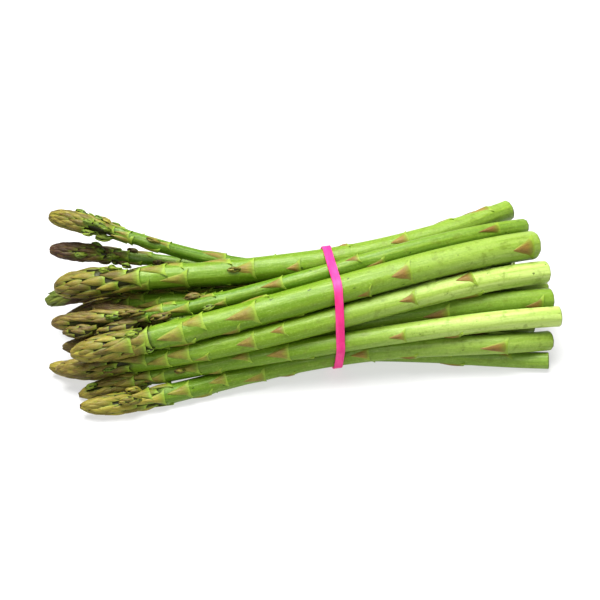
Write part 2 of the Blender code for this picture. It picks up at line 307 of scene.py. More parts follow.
def leaf(shells, place, surface, u0, a0, length, half, rise, rng, ns=9, nw=9, form=0,
         ear=1.0, bulge=0.0, lift=0.0, skew=0.0, kind=0.0, depth=0.3, thin=0.16):
    """One scale leaf, attached along its wide foot and pointed towards the spear's tip.
    rise holds its height over the surface at the foot and at the point. Form 0 is a triangle whose
    foot flares into two ears, form 1 the pointed oval of a head."""
    s = np.linspace(0, 1, ns) ** 0.9
    w = np.linspace(-1, 1, nw)
    S, W = np.meshgrid(s, w, indexing="ij")
    if form:
        width = (1 - S**2.0) * (0.74 + 0.26 * np.clip(S / 0.3, 0, 1)) + 0.03
    else:
        width = (1 - S) ** 0.92 * (1 - 0.06 * np.sin(np.pi * S)) + 0.13 * (1 - S) ** 10 + 0.02
    u = u0 - length * S + ear * np.abs(W) ** 2.4 * (1 - S) ** 3
    rho = surface(u)
    slope = np.clip((surface(u + 0.4) - surface(u - 0.4)) / 0.8, -0.5, 2.2)
    turn = 1 / np.sqrt(1 + slope * slope)
    height = rise[0] + (rise[1] - rise[0]) * S
    height = height + bulge * np.sin(np.pi * np.clip(S * 1.1, 0, 1)) ** 1.3 * (1 - W * W)
    height = height - (0.22 + 0.5 * rise[0]) * np.abs(W) ** 2.5 * np.clip(S * 4, 0.25, 1) * (1 - 0.3 * S)
    height = height + 0.10 * np.exp(-((W / 0.18) ** 2)) * np.sin(np.pi * S)
    # the ears stand off a little
    height = height + 0.42 * ear * np.abs(W) ** 3 * (1 - S) ** 7
    height = height + lift * S**3
    wave = rng.normal(0, 0.05, 3)
    height = height + wave[0] * np.sin(5 * S + wave[1] * 30) * 0.6 + wave[2] * W * S
    a = a0 + W * width * half / np.maximum(rho, 0.8) + skew * S / np.maximum(rho, 0.8)
    thick = thin * (1 - 0.6 * np.abs(W) ** 3) * (1 - 0.4 * S) + 0.04
    lower = np.minimum(height - thick, -depth * (1 - S) ** 0.5 * (1 - 0.4 * W * W))
    lower = np.where(lift * S**3 > 0.25, height - thick, lower)
    lower = np.where((S < 0.02) & (np.abs(W) > 0.3), np.minimum(height - thick, 0.15), lower)

    def at(h):
        return place(u - h * slope * turn, a, np.maximum(rho + h * turn, 0.03)).reshape(-1, 3)

    value = rng.random()
    marks = np.stack([S, W, np.full_like(S, value)], -1).reshape(-1, 3)
    across = W * width * half + 40 * value
    flat = np.stack([u + 300 * value, across, np.full_like(u, kind)], -1).reshape(-1, 3)
    shells.add(np.concatenate([at(height), at(lower)]), np.concatenate([flat, flat]),
               np.concatenate([marks, marks]), quads=patch_faces(ns, nw), slot=1)


def bud(shells, line, u0, a0, length, half, rng, tilt=0.05, crumbly=0.0, kind=1.0):
    """A side shoot: a small head of its own that lies along the stem, its point towards the tip."""
    base = line.size(u0) - 0.25
    sides = half * 1.0

    def outline(x):
        t = np.clip(x / length, 0, 1)
        return half * np.interp(t, [0, 0.06, 0.2, 0.45, 0.75, 1.0], [0.1, 0.42, 0.8, 1.0, 0.85, 0.45])

    def place(x, al, rho):
        # x runs from the shoot's point to its foot, as on a spear
        along = length - x
        y = rho * np.cos(al)
        foot = np.clip((x / length - 0.6) / 0.4, 0, 1)
        z = rho * np.sin(al) + sides * (0.62 - 0.9 * foot * foot) + tilt * along
        u = u0 - along
        r = line.size(u) * 0.75 + base * 0.25 + z
        return line.place(u, a0 + y / np.maximum(r, 1.0), r)

    sunk = min(0.5, 0.3 * half)
    rows, cols = 9, 10
    x = np.linspace(0.3, length, rows)[:, None]
    al = np.arange(cols)[None, :] * 2 * np.pi / cols
    rho = np.maximum(outline(x) - sunk, 0.1) * np.ones_like(al)
    body = place(x, al, rho).reshape(-1, 3)
    tip = place(np.array([[0.0]]), np.array([[0.0]]), np.array([[0.0]])).reshape(-1, 3)
    end = place(np.array([[length]]), np.array([[0.0]]), np.array([[0.0]])).reshape(-1, 3)
    points = np.concatenate([body, tip, end])
    value = rng.random()
    # painted shade: the shoot's body is marked as a scale's edge, so the leaf material paints it with the dark seam
    # shade
    marks = np.tile([0.4, 0.97, value], (len(points), 1)).astype(float)
    flat = np.tile([u0 + 300 * value, 40 * value, kind], (len(points), 1)).astype(float)
    quads, tris = tube_faces(rows, cols)
    shells.add(points, flat, marks, quads, tris, slot=1)
    step = 0.42 + 0.16 * half
    count = int(length / step)
    start = rng.uniform(0, 6.28)
    for k in range(count):
        at = 0.8 + (k + 0.5) * step
        t = at / length
        long = min(at + 0.2, (2.2 + 1.5 * half) * (0.6 + 0.5 * t) * rng.uniform(0.8, 1.15))
        leaf(shells, place, lambda v: np.maximum(outline(np.maximum(v, 0.0)) - sunk, 0.04),
             at, start + k * 2.4 + rng.normal(0, 0.1), long,
             (0.42 + 0.30 * half) * (0.6 + 0.45 * min(1, t * 2)), (sunk * 0.55, sunk), rng,
             ns=6, nw=5, ear=0.15 + crumbly * rng.uniform(0, 0.6), kind=kind, depth=0.12, thin=0.12,
             form=1, bulge=0.12 + 0.1 * half, lift=crumbly * rng.uniform(0, 0.7),
             skew=rng.normal(0, 0.1 + 0.5 * crumbly))


def tube_faces(rows, cols):
    """Faces of rings closed by one point before the first ring and one after the last."""
    index = np.arange(rows * cols).reshape(rows, cols)
    after = np.roll(index, -1, axis=1)
    quads = np.stack([index[:-1], index[1:], after[1:], after[:-1]], -1).reshape(-1, 4)
    tip, end = rows * cols, rows * cols + 1
    first = np.stack([np.full(cols, tip), index[0], after[0]], -1)
    last = np.stack([index[-1], np.full(cols, end), after[-1]], -1)
    return quads, np.concatenate([first, last])


# How each spear looks: purple of its head, paleness of its butt, depth of its green, seed.
LOOKS = {
    "spear_01": (0.30, 0.25, 0.36, 11),
    "spear_02": (0.62, 0.20, 0.75, 12),
    "spear_03": (0.28, 0.42, 0.34, 13),
    "spear_04": (0.45, 1.00, 0.15, 14),
    "spear_05": (0.30, 0.95, 0.30, 15),
    "spear_06": (0.08, 0.40, 0.35, 16),
    "spear_07": (0.25, 0.20, 0.60, 17),
    "spear_08": (0.60, 0.20, 0.50, 18),
    "spear_09": (0.30, 0.10, 1.00, 19),
    "spear_10": (0.95, 0.15, 0.90, 20),
    "spear_11": (1.00, 0.30, 0.50, 21),
    "spear_12": (0.75, 0.45, 0.40, 22),
}
# Leaves and side shoots whose places are known: distance from the tip, angle in degrees, length;
# the leaves' are of their feet
PLACED = {
    "spear_01": [(40, 45, 12), (44, -15, 10), (62, 18, 12), (52, 87, 14), (60, 123, 8), (82, 123, 12), (93, 48, 10), (114, 27, 6), (138, 123, 4), (166, 66, 8), (209, 111, 8)],
    "spear_02": [(58, 123, 10), (64, 33, 10), (52, 84, 8), (45, 3, 7), (76, 108, 6), (81, 12, 6), (108, 57, 10), (144, 84, 6), (155, -3, 8), (212, 54, 10)],
    "spear_03": [(36, 48, 12), (52, 30, 12), (34, -3, 11), (28, 33, 12), (62, 75, 11), (86, 45, 14), (77, -27, 8), (118, 90, 7), (158, 36, 9), (138, -6, 6), (218, 30, 10)],
    "spear_04": [(62, 45, 11), (92, 33, 8), (106, 57, 6), (52, 27, 10), (42, 63, 12), (70, -6, 6), (167, 42, 7), (196, 81, 8), (134, -36, 4)],
    "spear_05": [(56, 45, 10), (80, 60, 8), (98, 33, 10), (66, -24, 6), (34, 63, 10), (40, 21, 10), (152, 27, 7), (178, -39, 7), (26, 33, 8)],
    "spear_06": [(50, 45, 10), (68, 51, 8), (86, 6, 10), (60, -39, 8), (100, -39, 6), (38, 30, 10), (32, 81, 9), (42, 123, 10), (200, 21, 12), (158, -30, 7), (136, 30, 8)],
    "spear_08": [(180, 18, 12), (225, 12, 8)],
    "spear_09": [(38, 6, 9), (50, -39, 8), (54, 69, 6), (80, 81, 11), (36, 54, 6)],
}
BUDS = {
    "spear_02": [(22, -3, 16), (41, -12, 20), (34, 54, 8), (44, 63, 12), (56, 15, 10), (71, 123, 8), (76, 12, 6)],
    "spear_06": [(28, 51, 11), (29, 105, 8)],
    "spear_09": [(30, -39, 8), (22, 57, 6), (26, 60, 6), (28, 48, 4), (22, -6, 6)],
    "spear_01": [(26, 84, 4), (36, 120, 4), (30, 100, 4)],
    "spear_05": [(10, 78, 6)],
    "spear_03": [(33, 72, 7)],
    "spear_10": [(18, 24, 6), (26, 60, 4), (33, 30, 6)],
}
PLUMP = {"spear_02": (3.2, 3.4, 1.5, 2.0, 2.1, 1.8, 1.6), "spear_06": (2.2, 1.8)}


def core(shells, line, nodes, rng, cols=44):
    """The stem itself, with its soft ridges, swellings at the leaves and the cut end."""
    length, head = line.length, line.head
    u = [0.25, 0.7, 1.4, 2.4]
    while u[-1] < length - 3.2:
        u.append(u[-1] + (1.8 if u[-1] < head + 20 else 2.2))
    u = np.array([v for v in u if v < length - 2.6] + [length - 2.2, length - 1.2, length - 0.55])
    a = np.arange(cols) * 2 * np.pi / cols
    U, A = np.meshgrid(u, a, indexing="ij")

    def skin(U, A):
        R = line.size(U)
        in_head = np.clip((head * 1.06 - U) / (head * 0.18), 0, 1)
        sunk = np.minimum(1.3, 0.46 * R) * in_head
        phases = skin.phases
        wander = 1 + 0.014 * np.sin(2 * A + phases[0] + U * 0.012)
        wander = wander + 0.012 * np.sin(3 * A + phases[1] - U * 0.02)
        wander = wander + 0.006 * np.sin(5 * A + phases[2] + U * 0.03)
        wander = wander + 0.010 * np.sin(U * 0.11 + phases[3]) * np.cos(A - phases[4])
        ribs = 0.05 * np.sin(11 * A + phases[5] + 0.6 * np.sin(U * 0.05)) * (1 - in_head)
        out = (R - sunk) * wander + ribs
        for place_u, place_a, place_l, wide in nodes:
            turn = (A - place_a + np.pi) % (2 * np.pi) - np.pi
            du = U - place_u
            round_it = np.exp(-((turn / (wide * 1.15)) ** 4))
            # the stem is a little fuller below a leaf, and keeps a shallow bed above it
            out = out + 0.42 * round_it * np.exp(-(((du + 1.2) / 3.6) ** 2)) * np.where(du > 0.4, np.exp(-((du - 0.4) / 0.9)), 1)
            out = out - 0.10 * round_it * np.exp(-(((du + place_l * 0.9) / (place_l * 0.5)) ** 2))
        return out

    skin.phases = rng.uniform(0, 6.28, 6)
    rho = np.maximum(skin(U, A), 0.15)
    tilt, way = rng.uniform(0, 0.09), rng.uniform(0, 6.28)
    slant = lambda r, A: tilt * r * np.cos(A - way)
    near_end = np.clip((U - (length - 6)) / 6, 0, 1) ** 2
    # a cut spear dries a little: its last part is faintly ridged
    rho = rho + near_end * 0.07 * np.sin(9 * A + skin.phases[0])
    U = U + near_end * slant(rho, A)
    rows = [(U, A, rho)]
    edge = rho[-1]
    face = []
    for back, share in ((0.16, 0.985), (0.0, 0.94), (-0.02, 0.86), (0.05, 0.72), (0.12, 0.55),
                        (0.16, 0.37), (0.2, 0.18)):
        r = edge * share
        rough = rng.normal(0, 0.035, cols) if share < 0.9 else np.zeros(cols)
        row_u = length - back + slant(r, a) + rough
        face.append((row_u, r))
    U = np.vstack([U] + [f[0][None] for f in face])
    A = np.vstack([A] + [a[None]] * len(face))
    rho = np.vstack([rho] + [f[1][None] for f in face])
    n_rows = len(U)
    points = line.place(U, A, rho).reshape(-1, 3)
    tip = line.place(np.array([0.0]), np.array([0.0]), np.array([0.0]))
    end = line.place(np.array([length - 0.2]), np.array([0.0]), np.array([0.0]))
    points = np.concatenate([points, tip, end])
    R = line.size(np.clip(U, 0, length))
    # flat: distance along, distance round, radius share; on the stem rows the third is the painted shade under the
    # head's scales
    share = rho / np.maximum(edge.mean(), 1)
    # painted shade: the stem under the head's scales is marked to be painted dark, as if in their shadow
    shade_under_scales = np.clip((head * 1.02 - U) / (head * 0.1), 0, 1)
    share[: n_rows - len(face)] = shade_under_scales[: n_rows - len(face)]
    flat = np.stack([U, A * 5.0, share], -1).reshape(-1, 3)
    flat = np.concatenate([flat, [[0, 0, 0], [length, 0, 0]]])
    marks = np.stack([U / length, np.cos(A) * rho, np.sin(A) * rho], -1).reshape(-1, 3)
    marks = np.concatenate([marks, [[0, 0, 0], [1, 0, 0]]])
    quads, tris = tube_faces(n_rows, cols)
    row_of = np.repeat(np.arange(n_rows - 1), cols)
    quad_slots = np.where(row_of >= n_rows - 1 - (len(face) - 1), 2, 0)
    tri_slots = np.concatenate([np.zeros(cols, int), np.full(cols, 2)])
    shells.add(points, flat, marks, quads, tris, slot={4: quad_slots, 3: tri_slots})


GOLDEN = np.radians(137.508)


def grow(name, spec, path):
    number = int(name[-2:])
    purple, pale, deep, seed = LOOKS.get(
        name, (0.15 + 0.1 * (number % 7), 0.3 + 0.08 * (number % 6), 0.2 + 0.1 * (number % 5), number + 40)
    )
    rng = np.random.default_rng(seed)
    line = Line(spec, path)
    head, length = line.head, line.length
    bulge, neck = line.radii[0], line.radii[1]
    crumbly = {"spear_09": 1.0, "spear_07": 0.8, "spear_02": 0.3, "spear_06": 0.4}.get(name, 0.1)
    shells = Shells()
    # where leaves sit: close together on the head, then further and further apart
    spots, u, k = [], 1.4, 0
    start = rng.uniform(0, 6.28)
    while u < length - 9:
        t = u / head
        if t < 1:
            gap = head / 38 * (0.38 + 1.05 * t * t) * bulge / 5.5
        else:
            gap = np.interp(u - head, [0, 8, 20, 45, 80, 130, 190], [1.8, 3.6, 7.5, 12, 16, 21, 26])
        angle = start + k * GOLDEN + rng.normal(0, 0.09)
        spots.append((u, angle % (2 * np.pi)))
        u += gap * rng.uniform(0.9, 1.1)
        k += 1
    placed = [(pu, np.radians(pa), pl) for pu, pa, pl in PLACED.get(name, [])]
    shoots = list(BUDS.get(name, []))
    turned = lambda a, b: abs((a - b + np.pi) % (2 * np.pi) - np.pi)
    stem_leaves = []
    for u, a in spots:
        if u < head * 0.98:
            continue
        if any(abs(u - pu) < 14 and turned(a, pa) < 1.2 for pu, pa, _ in placed):
            continue
        if placed and turned(a, np.radians(42)) < np.radians(88) and u > head + 3:
            continue  # the near side of a spear with known leaves has only those
        stem_leaves.append((u, a, None))
    stem_leaves += placed
    nodes = []
    band_u = BAND_X - line.x0
    for u, a, known in stem_leaves:
        size = line.size(np.array([u]))[0]
        near = np.clip((u - head) / 30, 0, 1)
        long = (known or rng.uniform(9.5, 11.5) * (0.85 + 0.15 * size / 5)) + 0.6
        if u - long < band_u + 3.2 and u + 1.5 > band_u - 3.2:
            continue  # none under the band
        wide = np.radians(rng.uniform(40, 48)) * (0.75 if long < 8 else 1.0)
        nodes.append((u, a, long, wide))
    core(shells, line, nodes, rng)

    # the head's scales
    for u, a in spots:
        if u >= head * 0.98:
            continue
        t = u / head
        long = np.interp(t, [0, 0.1, 0.3, 0.6, 1.0], [3.5, 6.0, 9.0, 11.0, 11.0]) * (head / 38) ** 0.5
        half = np.interp(t, [0, 0.1, 0.3, 0.6, 1.0], [0.9, 1.35, 1.8, 2.15, 2.5]) * bulge / 5.8
        long = min(long * rng.uniform(0.85, 1.12), u + 0.3)
        half *= rng.uniform(0.88, 1.12)
        depth = np.minimum(1.25, 0.42 * line.size(np.array([u]))[0])
        lift = max(0.0, rng.normal(0.05, 0.22)) * min(1, t * 2)
        ragged = name == "spear_11" and u < 15
        if ragged:
            lift = rng.uniform(0.5, 1.1)
        if any(abs(u - 0.3 * long - bu + bl / 2) < bl / 2 and turned(a, np.radians(ba)) < 0.55
               for bu, ba, bl in shoots):
            continue

        def surface(v, depth=depth):
            return np.maximum(line.size(np.maximum(v, 0.0)) - depth, 0.04) * np.where(
                v < 0.5, np.clip(0.25 + 1.5 * v, 0.02, 1), 1
            )

        flare = np.clip((t - 0.45) / 0.3, 0, 1)
        leaf(shells, line.place, surface, u, a, long, half,
             (depth * (0.45 + 0.3 * flare), depth * 0.98), rng, ns=10, nw=9,
             ear=0.2 + 0.7 * flare, bulge=(0.50 + 0.15 * rng.random()) * min(1, 0.4 + t * 2), lift=lift,
             skew=rng.normal(0, 0.3), depth=0.3, thin=0.2, form=1,
             kind=1.5 if ragged else 1.0 - 0.4 * flare)
    # leaves on the stem
    for u, a, long, wide in nodes:
        size = line.size(np.array([u]))[0]
        near = np.clip((u - head) / 22, 0, 1)
        leaf(shells, line.place, line.size, u, a, long, size * wide, (0.80 - 0.12 * near, 0.08), rng,
             ns=13, nw=13, ear=rng.uniform(0.5, 1.2), bulge=0.36 - 0.12 * near,
             lift=max(0, rng.normal(0.0, 0.25)) * (1 - near), skew=rng.normal(0, 0.3),
             kind=0.6 - 0.6 * near if near < 1 else -min(1.0, (u - head - 22) / 60), depth=0.45)
    # side shoots
    fat = PLUMP.get(name, ())
    for k, (u, a, long) in enumerate(shoots):
        half = fat[k] if k < len(fat) else 1.2 + 0.05 * long
        bud(shells, line, u, np.radians(a), long, half, rng, tilt=0.02, crumbly=crumbly,
            kind=1.0 if half > 1.7 else 1.6)
    many = {"spear_02": 3, "spear_09": 9, "spear_10": 5, "spear_07": 4}.get(name, 1 + number % 3)
    around = [(u, a) for u, a in spots if head * 0.5 < u < head * 1.15]
    order = rng.permutation(len(around))
    done = 0
    for k in order:
        u, a = around[k]
        if done >= many or any(abs(u - bu) < 12 and turned(a, np.radians(ba)) < 0.9 for bu, ba, _ in shoots):
            continue
        bud(shells, line, u - 1.0, a, rng.uniform(4.0, 6.5), rng.uniform(0.9, 1.35), rng,
            tilt=rng.uniform(0.0, 0.05), crumbly=max(crumbly, 0.4), kind=1.7)
        done += 1
    for u, a, long, _ in nodes:
        if u < head + 2 or u > head + 60 or rng.random() > (0.75 if name in ("spear_02", "spear_09", "spear_10") else 0.12):
            continue
        if any(abs(u - bu) < 20 and turned(a, np.radians(ba)) < 0.7 for bu, ba, _ in shoots):
            continue
        bud(shells, line, u - long * 0.5, a, rng.uniform(5.0, 7.0), rng.uniform(1.1, 1.5), rng,
            tilt=rng.uniform(0.0, 0.04), crumbly=0.3, kind=1.2)
    return shells.build("asparagus_" + name, MATERIALS, (purple, pale, deep))


# ---------------------------------------------------------------- materials


class Nodes:
    def __init__(self, name):
        self.material = bpy.data.materials.new(name)
        self.material.use_nodes = True
        self.tree = self.material.node_tree
        self.shader = self.tree.nodes["Principled BSDF"]

    def new(self, kind, **values):
        node = self.tree.nodes.new(kind)
        for key, value in values.items():
            setattr(node, key, value)
        return node

    def link(self, a, b):
        self.tree.links.new(a, b)

    def attribute(self, name):
        node = self.new("ShaderNodeAttribute", attribute_name=name)
        return node.outputs["Vector"]

    def split(self, vector):
        node = self.new("ShaderNodeSeparateXYZ")
        self.link(vector, node.inputs[0])
        return node.outputs

    def scaled(self, vector, by, shift=(0, 0, 0)):
        node = self.new("ShaderNodeMapping")
        self.link(vector, node.inputs["Vector"])
        node.inputs["Scale"].default_value = by
        node.inputs["Location"].default_value = shift
        return node.outputs[0]

    def noise(self, vector, scale, detail=2.0, rough=0.5):
        node = self.new("ShaderNodeTexNoise")
        self.link(vector, node.inputs["Vector"])
        node.inputs["Scale"].default_value = scale
        node.inputs["Detail"].default_value = detail
        node.inputs["Roughness"].default_value = rough
        return node.outputs["Fac"]

    def math(self, operation, a, b=None, c=None, clamp=False):
        node = self.new("ShaderNodeMath", operation=operation, use_clamp=clamp)
        for i, value in enumerate((a, b, c)):
            if value is None:
                continue
            if isinstance(value, (int, float)):
                node.inputs[i].default_value = value
            else:
                self.link(value, node.inputs[i])
        return node.outputs[0]

    def curve(self, value, low, high, to_low=0.0, to_high=1.0, smooth=True):
        node = self.new("ShaderNodeMapRange", clamp=True)
        node.interpolation_type = "SMOOTHSTEP" if smooth else "LINEAR"
        self.link(value, node.inputs["Value"])
        for key, v in (("From Min", low), ("From Max", high), ("To Min", to_low), ("To Max", to_high)):
            node.inputs[key].default_value = v
        return node.outputs["Result"]

    def mix(self, share, a, b, blend="MIX"):
        node = self.new("ShaderNodeMix", data_type="RGBA", blend_type=blend)
        for socket, value in ((node.inputs[0], share), (node.inputs[6], a), (node.inputs[7], b)):
            if isinstance(value, (int, float)):
                socket.default_value = value
            elif isinstance(value, tuple):
                socket.default_value = (*value, 1) if len(value) == 3 else value
            else:
                self.link(value, socket)
        return node.outputs[2]

    def bump(self, height, strength, distance):
        node = self.new("ShaderNodeBump")
        node.inputs["Strength"].default_value = strength
        node.inputs["Distance"].default_value = distance
        self.link(height, node.inputs["Height"])
        self.link(node.outputs[0], self.shader.inputs["Normal"])

    def set(self, **values):
        for key, value in values.items():
            self.shader.inputs[key.replace("_", " ")].default_value = value


def srgb(r, g, b):
    def one(v):
        v /= 255
        return v / 12.92 if v <= 0.04045 else ((v + 0.055) / 1.055) ** 2.4

    return (one(r), one(g), one(b))


STEM_LIGHT = srgb(114, 144, 22)
STEM_GREEN = srgb(74, 116, 8)
STEM_YOUNG = srgb(78, 110, 22)
STEM_PALE = srgb(182, 202, 116)
STEM_YELLOW = srgb(124, 152, 42)
STEM_DARK = srgb(64, 96, 10)
STEM_DULL = srgb(104, 122, 38)


def stem_material():
    m = Nodes("asparagus_stem")
    flat, marks, look = m.attribute("flat"), m.attribute("leaf"), m.attribute("look")
    u, _, painted_scale_shade = m.split(flat)
    along, side, up = m.split(marks)
    purple, pale, deep = m.split(look)
    # lengthwise grain: noise stretched along the stem, laid on its true section
    section = m.new("ShaderNodeCombineXYZ")
    m.link(m.math("MULTIPLY_ADD", u, 0.045, m.math("MULTIPLY", purple, 37.0)), section.inputs[0])
    m.link(side, section.inputs[1])
    m.link(up, section.inputs[2])
    fine = m.noise(section.outputs[0], 3.4, 3, 0.6)
    broad = m.noise(section.outputs[0], 0.5, 2, 0.5)
    mottle = m.noise(m.scaled(section.outputs[0], (5.0, 0.25, 0.25)), 1.0, 3, 0.55)
    young = m.curve(along, 0.12, 0.50, 1, 0)
    young = m.math("MULTIPLY", young, m.math("MULTIPLY_ADD", deep, 0.75, 0.25), clamp=True)
    base = m.mix(deep, STEM_LIGHT, STEM_GREEN)
    base = m.mix(young, base, STEM_YOUNG)
    paler = m.math("MULTIPLY", m.curve(along, 0.45, 0.93), pale, clamp=True)
    base = m.mix(paler, base, STEM_PALE)
    base = m.mix(m.curve(broad, 0.38, 0.68, 0, 0.55), base, STEM_YELLOW)
    base = m.mix(m.curve(fine, 0.50, 0.74, 0, 0.30), base, STEM_DARK)
    base = m.mix(m.curve(fine, 0.26, 0.44, 0.30, 0), base, STEM_PALE)
    base = m.mix(m.curve(mottle, 0.54, 0.70, 0, 0.50), base, STEM_DULL)
    grit = m.noise(m.scaled(section.outputs[0], (14.0, 0.6, 0.6)), 1.6, 2, 0.6)
    base = m.mix(m.curve(grit, 0.50, 0.72, 0, 0.13), base, STEM_PALE)
    base = m.mix(m.curve(grit, 0.30, 0.48, 0.14, 0), base, STEM_DARK)
    dots = m.new("ShaderNodeTexVoronoi", feature="F1")
    m.link(m.scaled(section.outputs[0], (9.0, 1.0, 1.0)), dots.inputs["Vector"])
    dots.inputs["Scale"].default_value = 1.3
    speck = m.curve(dots.outputs["Distance"], 0.03, 0.12, 0.3, 0)
    base = m.mix(speck, base, STEM_PALE)
    # here and there a small dark bruise
    bruise = m.noise(m.scaled(section.outputs[0], (7.0, 0.5, 0.5), (3.1, 7.7, 1.3)), 0.8, 2, 0.5)
    base = m.mix(m.curve(bruise, 0.71, 0.76, 0, 0.75), base, srgb(44, 62, 14))
    # painted shade: the core under the head's scales is painted dark brown, standing in for their shadow
    base = m.mix(m.curve(painted_scale_shade, 0.0, 1.0, 0, 0.9), base, srgb(44, 38, 18))
    m.link(base, m.shader.inputs["Base Color"])
    rough = m.curve(fine, 0.3, 0.7, 0.34, 0.50)
    m.link(rough, m.shader.inputs["Roughness"])
    height = m.math("MULTIPLY_ADD", fine, 0.6, broad)
    m.bump(height, 0.5, 0.00035)
    m.set(Subsurface_Weight=0.08, Subsurface_Scale=0.002, Subsurface_Radius=(0.6, 1.0, 0.15),
          Specular_IOR_Level=0.42, IOR=1.45)
    return m.material


def leaf_material():
    m = Nodes("asparagus_scale_leaf")
    flat, marks, look = m.attribute("flat"), m.attribute("leaf"), m.attribute("look")
    u, across, kind = m.split(flat)
    s, w, value = m.split(marks)
    purple, pale, deep = m.split(look)
    grain = m.noise(m.scaled(flat, (0.10, 1.0, 1.0)), 2.6, 3, 0.6)
    patch = m.noise(m.scaled(flat, (0.30, 0.6, 1.0)), 1.0, 2, 0.5)
    speckle = m.noise(m.scaled(flat, (0.7, 1.0, 1.0)), 3.0, 3, 0.7)
    side = m.math("ABSOLUTE", w)
    edge = m.math("POWER", side, 2.0)
    on_head = m.curve(kind, 0.1, 0.8)
    # the middle is tan to purple-brown, the edges and the foot pale yellow-green
    tan = m.mix(value, srgb(142, 120, 52), srgb(126, 98, 46))
    tan = m.mix(m.math("MULTIPLY", purple, 0.3), tan, srgb(104, 82, 56))
    tan = m.mix(m.curve(kind, -1.0, 0.0, 1.0, 0.28), srgb(134, 142, 56), tan)
    tan = m.mix(m.curve(patch, 0.42, 0.62, 0, 0.35), tan, srgb(110, 84, 42))
    olive = m.mix(value, srgb(152, 144, 58), srgb(94, 86, 34))
    middle = m.mix(on_head, tan, olive)
    dark = m.mix(value, srgb(92, 66, 50), srgb(58, 42, 36))
    shade = m.math("MULTIPLY_ADD", purple, 1.25, m.math("MULTIPLY_ADD", patch, 1.3, -0.82), clamp=True)
    shade = m.math("MULTIPLY", shade, m.curve(kind, 0.0, 0.8, 0.12, 1.0))
    middle = m.mix(shade, middle, dark)
    middle = m.mix(m.curve(speckle, 0.52, 0.72, 0, 0.35), middle, srgb(180, 154, 96))
    middle = m.mix(m.curve(speckle, 0.30, 0.46, 0.35, 0), middle, srgb(82, 68, 34))
    margin = m.mix(m.math("MULTIPLY", purple, 0.75), srgb(140, 158, 56), srgb(104, 90, 52))
    green = m.mix(m.curve(kind, 0.6, 1.0), srgb(116, 142, 42), srgb(110, 116, 40))
    colour = m.mix(m.curve(s, 0.0, 0.40, 0.75, 0), middle, green)
    rim = m.math("MULTIPLY_ADD", grain, 0.5, m.math("SUBTRACT", edge, 0.25))
    colour = m.mix(m.curve(rim, 0.22, 0.80, 0, 0.9), colour, margin)
    lip = m.math("MULTIPLY_ADD", edge, 0.16, 0.05)
    foot = m.curve(m.math("SUBTRACT", s, lip), -0.03, 0.05, 0.9, 0)
    foot = m.math("MULTIPLY", foot, m.curve(kind, 0.7, 1.0, 1.0, 0.25))
    colour = m.mix(foot, colour, srgb(134, 160, 56))
    tip = m.curve(s, 0.68, 1.0, 0, 0.75)
    colour = m.mix(m.math("MULTIPLY", tip, on_head), colour,
                   m.mix(purple, srgb(120, 88, 40), srgb(66, 46, 34)))
    colour = m.mix(m.curve(grain, 0.5, 0.75, 0, 0.35), colour, srgb(76, 68, 26))
    tender = m.curve(kind, 1.1, 1.8, 0, 0.8)
    colour = m.mix(tender, colour, m.mix(value, srgb(124, 150, 52), srgb(80, 118, 32)))
    # painted shade: the seam under a scale's edge is painted near-black, standing in for its shadow
    seam_shade = m.math("MULTIPLY", m.curve(side, 0.66, 0.95, 0, 0.95), on_head)
    seam_shade = m.math("MULTIPLY", seam_shade, m.curve(s, 0.0, 0.2, 0.3, 1.0))
    colour = m.mix(seam_shade, colour, srgb(40, 34, 14))
    m.link(colour, m.shader.inputs["Base Color"])
    m.link(m.curve(grain, 0.3, 0.7, 0.42, 0.62), m.shader.inputs["Roughness"])
    m.bump(m.math("MULTIPLY_ADD", grain, 0.9, patch), 0.6, 0.0003)
    m.set(Subsurface_Weight=0.06, Subsurface_Scale=0.0012, Subsurface_Radius=(0.8, 1.0, 0.3),
          Specular_IOR_Level=0.28)
    return m.material


def cut_material():
    m = Nodes("asparagus_cut_end")
    flat, marks = m.attribute("flat"), m.attribute("leaf")
    _, side, up = m.split(marks)
    _, _, share = m.split(flat)
    spot = m.new("ShaderNodeCombineXYZ")
    m.link(side, spot.inputs[0])
    m.link(up, spot.inputs[1])
    dots = m.new("ShaderNodeTexVoronoi", feature="F1")
    m.link(spot.outputs[0], dots.inputs["Vector"])
    dots.inputs["Scale"].default_value = 1.15
    fibre = m.curve(dots.outputs["Distance"], 0.12, 0.32, 1, 0)
    cloud = m.noise(spot.outputs[0], 0.9, 3, 0.6)
    base = m.mix(m.curve(cloud, 0.3, 0.7), srgb(196, 202, 138), srgb(172, 186, 98))
    base = m.mix(m.math("MULTIPLY", fibre, 0.55), base, srgb(146, 158, 74))
    base = m.mix(m.curve(share, 0.8, 0.98, 0, 0.8), base, srgb(132, 154, 54))
    m.link(base, m.shader.inputs["Base Color"])
    m.link(m.curve(cloud, 0.3, 0.7, 0.38, 0.6), m.shader.inputs["Roughness"])
    m.bump(m.math("MULTIPLY_ADD", fibre, 0.6, cloud), 0.6, 0.0004)
    m.set(Subsurface_Weight=0.2, Subsurface_Scale=0.003, Subsurface_Radius=(0.8, 1.0, 0.4))
    return m.material


